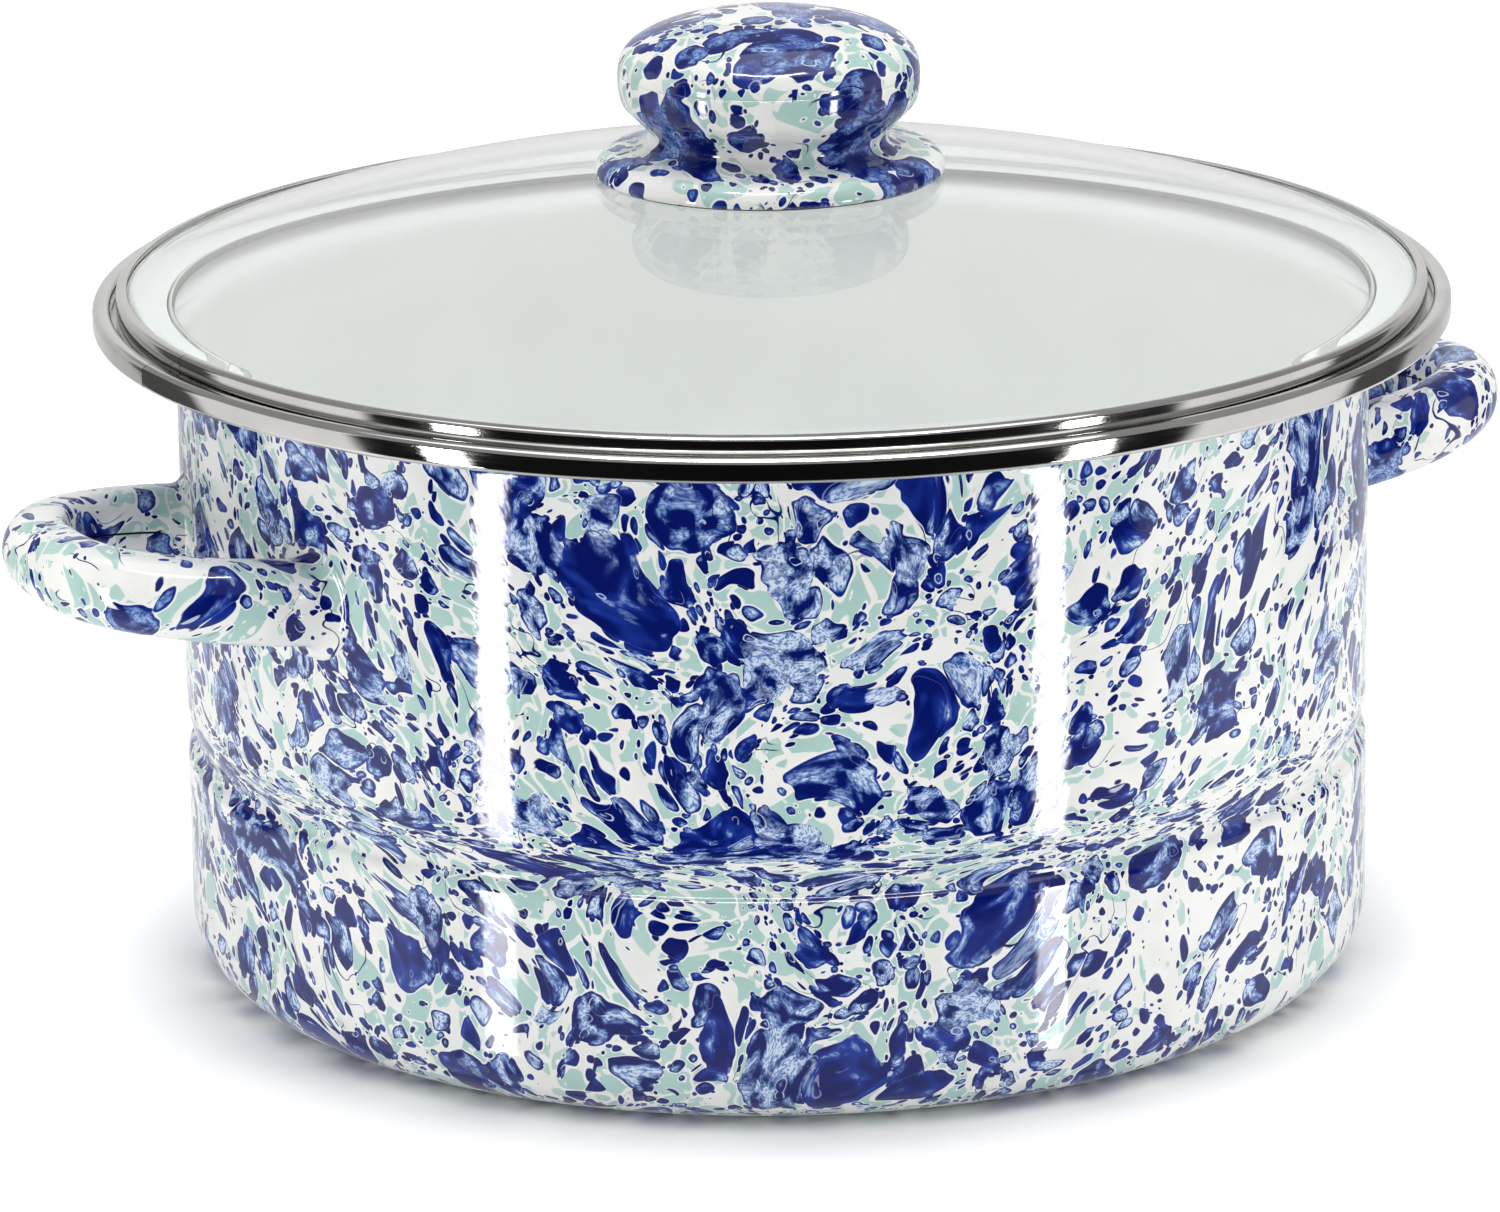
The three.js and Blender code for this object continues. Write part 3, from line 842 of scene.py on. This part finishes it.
washer_section = section([
    (2.8, 142.97, 0.15),
    (8.0, 142.97, 0.3),
    (8.0, 144.17, 0.3),
    (2.8, 144.17, 0.15),
], closed=True)
washer = turn(washer_section, steps=SMALL_STEPS)
make_piece(washer, "knob_washer_ring", "lid", "knob_washer", "plain_steel", plain_steel)

# %% [markdown]
# The screw has a round head with a cross recess. The recess could be cut with a boolean, but a grid
# of nine faces does it more cleanly: the five that form a cross are pushed in, and the border of the
# grid is bridged to the round head.

# %% Screw
SCREW_SIDES = 24
HEAD_BOTTOM = 140.08
CROSS_HALF_WIDTH = 1.5
CROSS_DEPTH = 1.3
screw_section = section([
    (2.3, HEAD_BOTTOM, 0),
    (5.0, HEAD_BOTTOM + 1.1, 1.0),
    (5.0, 142.67, 0.2),
    (2.5, 142.67, 0.1),
    (2.5, 162.3, 0),
    (2.0, 162.77, 0),
    (0, 162.77, 0),
])
screw = turn(screw_section, steps=SCREW_SIDES)
head_rim = [edge for edge in screw.edges if edge.is_boundary]
cross = bmesh.ops.create_grid(screw, x_segments=3, y_segments=3, size=CROSS_HALF_WIDTH * MM)
bmesh.ops.translate(screw, verts=cross["verts"], vec=(0, 0, HEAD_BOTTOM * MM))
tiles = list({face for vert in cross["verts"] for face in vert.link_faces})
border = [edge for face in tiles for edge in face.edges if edge.is_boundary]
arms = []
for tile in tiles:
    middle = tile.calc_center_median()
    if min(abs(middle.x), abs(middle.y)) < 0.3 * MM:
        arms.append(tile)
bmesh.ops.bridge_loops(screw, edges=head_rim + border)
pushed = bmesh.ops.extrude_face_region(screw, geom=arms)["geom"]
deep = [item for item in pushed if isinstance(item, bmesh.types.BMVert)]
bmesh.ops.translate(screw, verts=deep, vec=(0, 0, CROSS_DEPTH * MM))
bmesh.ops.delete(screw, geom=arms, context="FACES_ONLY")
bmesh.ops.recalc_face_normals(screw, faces=screw.faces)
screw_piece = make_piece(
    screw, "knob_screw_cross", "lid", "knob_screw", "plain_steel", plain_steel
)
crisp = screw_piece.modifiers.new("crisp edges", "EDGE_SPLIT")
crisp.split_angle = math.radians(40)

# %% [markdown]
# The threaded insert is hidden inside the knob, so its solid is good enough and only gets a finish.

# %% Insert
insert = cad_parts["knob_insert"]
insert.data.materials.clear()
insert.data.materials.append(plain_steel)
print("insert:", insert.name)

# %% [markdown]
# ## Handles
# A handle is a strip of sheet rolled into a D, with its seam along the flat inner side, bent into a
# loop and welded to the wall before the pot is dipped. A bevelled curve gives the loop but not the
# welded feet. So a D section is extruded ring by ring, and then each ring is put in its place: along
# the loop in the middle, and spread on the round of the wall at the two feet, where the enamel fills
# the corner. First comes the line of the loop, with its rings close together at the feet.

# %% Loop
LOOP_STEPS = 72
FOOT_RINGS = (-0.7, 0.0, 0.12, 0.35, 0.75, 1.3, 2.1, 3.1)
HANDLE_SPREAD = 30.0
HANDLE_REACH = 33.8
SIDE_POWER = 2 / 2.7
REACH_POWER = 2 / 1.95


def wall_at(across):
    return math.sqrt(WALL ** 2 - across ** 2)


def loop_places():
    """Middle of the tube and its way out of the loop, from one foot to the other."""
    foot = wall_at(HANDLE_SPREAD)
    places = [Vector((foot + gap, -HANDLE_SPREAD)) for gap in FOOT_RINGS]
    for step in range(LOOP_STEPS + 1):
        angle = math.radians(180 * step / LOOP_STEPS - 90)
        side = math.copysign(abs(math.sin(angle)) ** SIDE_POWER, angle)
        reach = max(math.cos(angle), 0) ** REACH_POWER
        places.append(Vector((WALL + HANDLE_REACH * reach, HANDLE_SPREAD * side)))
    places += [Vector((foot + gap, HANDLE_SPREAD)) for gap in reversed(FOOT_RINGS)]
    frames = []
    for number, place in enumerate(places):
        ahead = places[min(number + 1, len(places) - 1)] - places[max(number - 1, 0)]
        ahead.normalize()
        frames.append((place, Vector((ahead.y, -ahead.x))))
    return frames


LOOP = loop_places()
print("the loop has", len(LOOP), "rings")

# %% [markdown]
# The section starts as a circle. Raising its coordinates to a power squares the inner half into the
# flat of the D. The seam is one vertex of the flat, bevelled into a notch, which gets painted shade:
# a dark finish in place of the shade inside the open seam.
# Near each foot the seam ends in a small round vent, which let the steam out when the pot was fired.

# %% D section
TUBE_STEPS = 32
TUBE_HALF_DEPTH = 5.9
FLAT_POWER = 2 / 4.2
SEAM_WIDTH = 0.18
SEAM_DEPTH = 1.2
SEAM_SHARE = SEAM_WIDTH / 7


def d_section():
    """A round bar of radius 1, pressed flat on its inner side, with the seam pressed in."""
    bm = bmesh.new()
    bmesh.ops.create_circle(bm, segments=TUBE_STEPS, radius=1)
    for vert in bm.verts:
        power = FLAT_POWER if vert.co.x < -1e-6 else 1.0
        vert.co.x = math.copysign(abs(vert.co.x) ** power, vert.co.x)
        vert.co.y = math.copysign(abs(vert.co.y) ** power, vert.co.y)
    middle = min(bm.verts, key=lambda vert: vert.co.x + abs(vert.co.y))
    seam = bmesh.ops.bevel(
        bm, geom=[middle], offset=SEAM_SHARE, offset_type="OFFSET", segments=2,
        profile=0.5, affect="VERTICES", material=-1,
    )
    bottom = min(seam["verts"], key=lambda vert: abs(vert.co.y))
    bottom.co.x += SEAM_DEPTH / TUBE_HALF_DEPTH
    return bm


def in_seam(spot):
    return spot.x < -0.5 and abs(spot.y) < 1.5 * SEAM_SHARE


print("the tube is", 2 * TUBE_HALF_DEPTH, "mm deep, with a seam of", 2 * SEAM_WIDTH, "mm")

# %% Long tube
VENT = 7.0
VENT_RADIUS = 0.8


def long_tube():
    """The D section extruded along Z, one unit for each ring of the loop."""
    bm = d_section()
    edges = bm.edges[:]
    for ring in range(1, len(LOOP)):
        grown = bmesh.ops.extrude_edge_only(bm, edges=edges)["geom"]
        verts = [item for item in grown if isinstance(item, bmesh.types.BMVert)]
        fresh = set(verts)
        grown_edges = [item for item in grown if isinstance(item, bmesh.types.BMEdge)]
        edges = [edge for edge in grown_edges if fresh.issuperset(edge.verts)]
        bmesh.ops.translate(bm, verts=verts, vec=(0, 0, 1))
    return bm


def paint_seam_shade(bm):
    """Give the open stretch of the seam its painted shade finish and sharp edges."""
    gaps = [place.x - wall_at(place.y) for place, _ in LOOP]
    open_rings = {ring for ring, gap in enumerate(gaps) if gap > VENT - VENT_RADIUS}
    for face in bm.faces:
        if all(in_seam(vert.co) and round(vert.co.z) in open_rings for vert in face.verts):
            face.material_index = 1
            for edge in face.edges:
                edge.smooth = False


print("vents lie", VENT, "mm from the wall")

# %% [markdown]
# Each ring of the extruded tube is then carried to its place on the loop. A fillet spreads the rings
# near the wall, and they lean to hug its round. The right handle was welded on a little crooked, with
# its far foot lower than its near one, so the handle takes that drop as a number.

# %% Rings in place
HANDLE_HEIGHT = LEDGE - 35.3
HANDLE_SLOPE = math.tan(math.radians(7))
TUBE_HALF_HEIGHT = 6.9
TALLER_FEET = 0.9
FLATTER_FEET = 1.3
FLAT_REACH = 14
HUG_REACH = 12
OUTER_FILLET = 4.0
INNER_FILLET = 3.0
UPPER_FILLET = 2.6
VENT_GROWTH = 3


def fillet(gap, size):
    """How far a round fillet stands out at a distance from the wall."""
    if gap >= size:
        return 0.0
    return size * (1 - math.sqrt(1 - (1 - max(gap, 0) / size) ** 2))


def placed(spot, drop):
    """Where a point of the long tube lies on the handle, in millimetres."""
    place, outwards = LOOP[round(spot.z)]
    gap = place.x - wall_at(place.y)
    reach = max((place.x - WALL) / HANDLE_REACH, 0)
    outer = spot.x > 0
    flat = FLATTER_FEET * (1 - min(gap / FLAT_REACH, 1)) if outer else 0
    depth = TUBE_HALF_DEPTH - flat + fillet(gap, OUTER_FILLET if outer else INNER_FILLET)
    rise = TUBE_HALF_HEIGHT + TALLER_FEET * (1 - reach) + fillet(gap, UPPER_FILLET)
    inwards = spot.x
    if in_seam(spot):
        if abs(gap - VENT) < VENT_RADIUS:
            rise *= VENT_GROWTH
        if gap <= VENT - VENT_RADIUS:
            inwards = -1.0
    level = place + outwards * (inwards * depth)
    hug = 1 - min(max(gap, 0) / HUG_REACH, 1)
    lean = (wall_at(level.y) - wall_at(place.y)) * hug ** 2
    lowered = drop * (place.y / HANDLE_SPREAD + 1) ** 2 / 4
    middle_height = HANDLE_HEIGHT + (place.x - WALL) * HANDLE_SLOPE
    return Vector((level.x + lean, level.y, middle_height + spot.y * rise - lowered))


print("handles leave the wall", round(HANDLE_HEIGHT, 1), "mm above the base")

# %% Handles
CROOKED = 4.4


def handle(drop=0.0):
    bm = long_tube()
    paint_seam_shade(bm)
    for vert in bm.verts:
        vert.co = placed(vert.co, drop) * MM
    ends = [edge for edge in bm.edges if edge.is_boundary]
    bmesh.ops.holes_fill(bm, edges=ends, sides=0)
    bmesh.ops.recalc_face_normals(bm, faces=bm.faces)
    return bm


handle_finishes = (handle_enamel, seam_painted_shade)
make_piece(handle(CROOKED), "handle_right", "pot", "right_handle", "enamel", *handle_finishes)
other = handle()
half_turn = Matrix.Rotation(math.pi, 3, "Z")
bmesh.ops.rotate(other, verts=other.verts, matrix=half_turn)
make_piece(other, "handle_left", "pot", "left_handle", "enamel", *handle_finishes)

# %% [markdown]
# ## Studio
# The photograph has a white ground, white walls at the sides and behind, and a dark room behind the
# camera, which the steel and the front of the enamel mirror. The pot stands on a small white table,
# and past its edge the enamel mirrors the lamps and the dark below. So the floor is white to the
# camera and to soft light everywhere, but a mirror ray only meets it near the pot, and less of it in
# front. The pot's shadow stays, and it fades under a painted glow that makes the floor brighter away
# from the base, for the camera and for rays through the glass. From below the floor can be looked
# through, so that the base can be seen.

# %% Floor
TABLE = 0.34
FRONT_START = 0.11
FRONT_END = 0.24
PAINTED_GLOW_START = 0.1025
PAINTED_GLOW_END = 0.13
GLOW = 0.25
bpy.ops.mesh.primitive_plane_add(size=12, location=(0, 0, -0.2 * MM))
floor = bpy.context.object
floor.name = "floor"
paper, tree, shader = new_finish(
    "paper", Base_Color=(0.95, 0.95, 0.95, 1), Roughness=1.0, Specular_IOR_Level=0,
    Emission_Color=(1, 1, 1, 1),
)
path = tree.nodes.new("ShaderNodeLightPath").outputs
spot = tree.nodes.new("ShaderNodeTexCoord").outputs["Object"]
x, y, z = parts_of(tree, spot)
distance = from_axis(tree, x, y)
in_picture = calc(tree, "MAXIMUM", path["Is Camera Ray"], path["Is Transmission Ray"])
# painted light: the floor glows for camera rays and rays through the glass, not at all at the base and
# up to GLOW further off, which paints the fading of the pot's shadow
painted_glow = ramp(tree, distance, PAINTED_GLOW_START, PAINTED_GLOW_END, 0.0, GLOW)
feed(tree, shader.inputs["Emission Strength"], calc(tree, "MULTIPLY", in_picture, painted_glow))
in_front = ramp(tree, along(tree, spot, TO_CAMERA), FRONT_START, FRONT_END, 0.35, 1.0)
off_table = calc(tree, "MAXIMUM", calc(tree, "GREATER_THAN", distance, TABLE), in_front)
not_through_glass = calc(tree, "SUBTRACT", 1.0, path["Is Transmission Ray"])
mirror_ray = calc(tree, "MULTIPLY", path["Is Glossy Ray"], not_through_glass)
unseen = calc(tree, "MULTIPLY", mirror_ray, off_table)
from_below = tree.nodes.new("ShaderNodeNewGeometry").outputs["Backfacing"]
clear_where(tree, calc(tree, "MAXIMUM", unseen, from_below), shader)
floor.data.materials.append(paper)
print("floor:", floor.name, "with", paper.name)

# %% [markdown]
# The world is what each kind of ray sees past the floor. A mirror ray sees the walls, given by their
# angle from the camera, a grey ceiling, and one bright strip high in front, which draws the fine lines
# on the knob, the handles and the groove. A ray through the glass sees pale walls, dark in front and
# bright above. The camera sees white. Soft light comes from the sides, and little from the front.

# %% What mirror rays see
CEILING = (0.38, 0.38, 0.38, 1)
CEILING_EDGE = (0.3, 0.42)
STRIP_LOWER_EDGE = (0.915, 0.919)
STRIP_UPPER_EDGE = (0.938, 0.942)
STRIP_END = (0.95, 1.05)
STRIP_STRENGTH = 30.0
# degrees round from the camera, and how bright the wall is there
WALLS = (
    (0, 0.006), (72, 0.012), (75, 1.1), (110, 1.1), (114, 0.1), (131, 0.1), (135, 0.64), (180, 0.6),
)
world = bpy.data.worlds.new("studio")
bpy.context.scene.world = world
world.use_nodes = True
tree = world.node_tree
tree.nodes.clear()
heading = tree.nodes.new("ShaderNodeTexCoord").outputs["Generated"]
rise = parts_of(tree, heading)[2]
ahead = along(tree, heading, TO_CAMERA)
to_right = along(tree, heading, TO_RIGHT)
around = calc(tree, "ABSOLUTE", calc(tree, "ARCTAN2", to_right, ahead))
walls = tree.nodes.new("ShaderNodeValToRGB")
feed(tree, walls.inputs[0], calc(tree, "DIVIDE", around, math.pi))
stops = walls.color_ramp.elements
for degrees, level in WALLS:
    stops.new(degrees / 180).color = (level, level, level, 1)
stops.remove(stops[0])
stops.remove(stops[-1])
room = blend(tree, ramp(tree, rise, *CEILING_EDGE), walls.outputs["Color"], CEILING)
above = ramp(tree, rise, *STRIP_LOWER_EDGE)
below = ramp(tree, rise, *STRIP_UPPER_EDGE, 1.0, 0.0)
strip = calc(tree, "MULTIPLY", above, below)
strip = calc(tree, "MULTIPLY", strip, ramp(tree, around, *STRIP_END, STRIP_STRENGTH, 0.0))
mirrored = calc(tree, "ADD", room, strip)
print("mirror rays see", len(WALLS), "wall levels, a ceiling and a strip")

# %% What the other rays see
pale_walls = ramp(tree, rise, *CEILING_EDGE, 1.14, 1.75)
dark_front = ramp(tree, rise, *CEILING_EDGE, 0.2, 1.75)
beyond_glass = ramp(tree, ahead, -0.1, 0.3, pale_walls, dark_front)
sides = calc(tree, "ADD", calc(tree, "MULTIPLY", to_right, 0.1), 1.26)
front = ramp(tree, rise, 0.0, 0.5, 0.05, 0.35)
soft = ramp(tree, ahead, 0.55, 0.66, sides, front)

path = tree.nodes.new("ShaderNodeLightPath").outputs
through = path["Is Transmission Ray"]
not_through = calc(tree, "SUBTRACT", 1.0, through)
mirror_ray = calc(tree, "MULTIPLY", path["Is Glossy Ray"], not_through)
plain = calc(
    tree, "MAXIMUM", path["Is Camera Ray"], calc(tree, "MULTIPLY", through, beyond_glass)
)
seen = calc(tree, "ADD", calc(tree, "MULTIPLY", mirror_ray, mirrored), plain)
sharp = calc(tree, "MAXIMUM", path["Is Glossy Ray"], path["Is Camera Ray"])
soft_part = calc(tree, "MULTIPLY", calc(tree, "SUBTRACT", 1.0, sharp), soft)
sky = tree.nodes.new("ShaderNodeBackground")
feed(tree, sky.inputs["Strength"], calc(tree, "ADD", seen, soft_part))
tree.links.new(sky.outputs[0], tree.nodes.new("ShaderNodeOutputWorld").inputs["Surface"])
print("world:", world.name, "with", len(tree.nodes), "nodes")

# %% [markdown]
# Two tall narrow lamps stand at the edge of the dark and draw the two bright stripes on the wall. They
# reach below the floor, because the camera looks down and what the upright wall mirrors lies lower
# than itself. A wide lamp hangs high over the pot and lights the inside through the glass.

# %% Lamps
LAMP_DISTANCE = 0.75
LAMP_HEIGHT = -0.05
LAMP_LENGTH = 0.5
WATTS_PER_WIDTH = 32
CEILING_LAMP = 1.4
SIDE_LAMPS = (("left_lamp", -51.5, 0.08), ("right_lamp", 49.5, 0.075))


def lamp(name, place, aim, width, height, watts):
    data = bpy.data.lights.new(name, "AREA")
    data.shape = "RECTANGLE"
    data.size = width
    data.size_y = height
    data.energy = watts
    light = bpy.data.objects.new(name, data)
    light.location = place
    light.rotation_mode = "QUATERNION"
    light.rotation_quaternion = (Vector(aim) - Vector(place)).to_track_quat("-Z", "Y")
    bpy.context.scene.collection.objects.link(light)
    print(name, [round(x, 2) for x in place], watts, "W")


for name, degrees, width in SIDE_LAMPS:
    angle = math.radians(degrees)
    spot = (TO_CAMERA * math.cos(angle) + TO_RIGHT * math.sin(angle)) * LAMP_DISTANCE
    spot.z = LAMP_HEIGHT
    lamp(name, spot, (0, 0, LAMP_HEIGHT), width, LAMP_LENGTH, WATTS_PER_WIDTH * width)
overhead = Vector((0, 0, CEILING_LAMP))
lamp("ceiling_lamp", overhead, (0, 0, 0), CEILING_LAMP, CEILING_LAMP, watts=8.0)

view = bpy.context.scene.view_settings
view.view_transform = "Standard"
